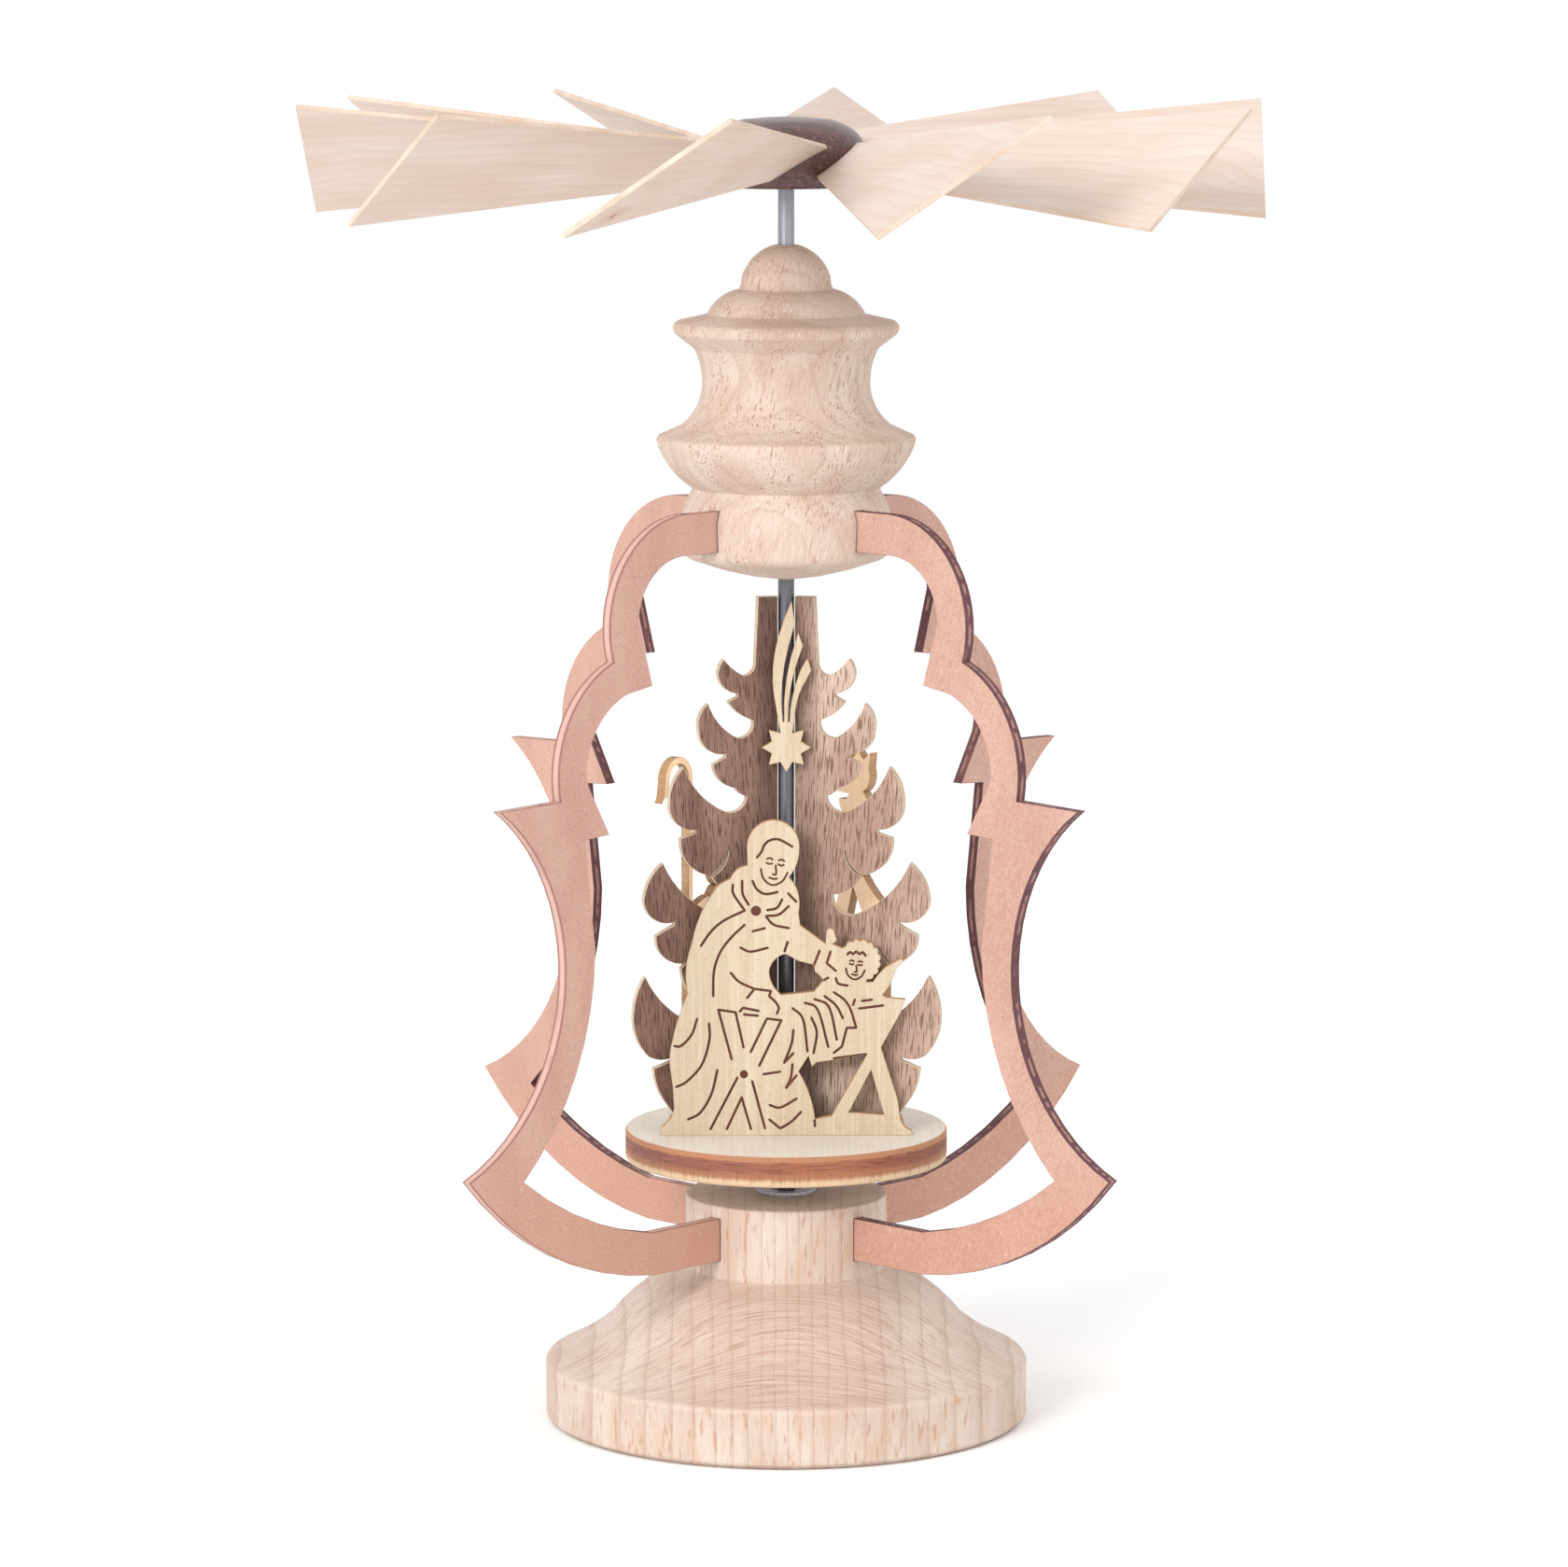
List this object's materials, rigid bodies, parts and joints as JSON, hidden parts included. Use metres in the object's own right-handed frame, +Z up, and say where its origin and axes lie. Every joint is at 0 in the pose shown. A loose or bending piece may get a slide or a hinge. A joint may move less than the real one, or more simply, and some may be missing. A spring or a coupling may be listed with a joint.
{
  "type": "christmas pyramid",
  "caption": "Small turned and fretwork Christmas pyramid: an axle with a nativity platform, a tree and a wooden bladed rotor turns inside an open frame of plywood arms.",
  "frame": {"origin": "centre of the foot's underside, on the table under the axle", "axes": "+Z up along the axle, -Y towards the viewer and the crib panel, +X to the viewer's right"},
  "size_m": [0.1178, 0.1194, 0.1635],
  "materials": {
    "beech": "bare turned beech, sanded, silky",
    "copper_board": "plywood with a pinkish face veneer and dark laser-cut edges",
    "walnut_veneer": "walnut veneered board, matt, with short dark pores",
    "dark_walnut": "turned walnut with a thin satin coat",
    "pale_veneer": "pale maple board with burnt cut lines, matt",
    "blade_veneer": "thin pale sliced wood, sanded",
    "plywood": "three-ply disc with a darker middle ply",
    "steel": "drawn steel rod and pressed cup"
  },
  "bodies": {
    "stand": {"foot": "beech", "pivot_cup": "steel", "arm_front_left": "copper_board", "arm_front_right": "copper_board", "arm_back_left": "copper_board", "arm_back_right": "copper_board", "turret": "beech"},
    "spinner": {"axle": "steel", "platform": "plywood", "tree_wing_left": "walnut_veneer", "tree_wing_right": "walnut_veneer", "tree_wing_back": "walnut_veneer", "crib_panel": "pale_veneer", "shepherd_panel": "pale_veneer", "gift_bearer_panel": "pale_veneer", "comet": "pale_veneer"},
    "rotor": {"rotor_hub": "dark_walnut", "blade_01": "blade_veneer", "blade_02": "blade_veneer", "blade_03": "blade_veneer", "blade_04": "blade_veneer", "blade_05": "blade_veneer", "blade_06": "blade_veneer", "blade_07": "blade_veneer", "blade_08": "blade_veneer", "blade_09": "blade_veneer", "blade_10": "blade_veneer"}
  },
  "joints": [
    {"name": "spinner_turn", "type": "hinge", "parent": "stand", "child": "spinner", "pos_m": [0, 0, 0.0365], "axis": [0, 0, 1], "continuous": true},
    {"name": "rotor_lift", "type": "slide", "parent": "spinner", "child": "rotor", "axis": [0, 0, 1], "range_m": [0, 0.01]}
  ]
}
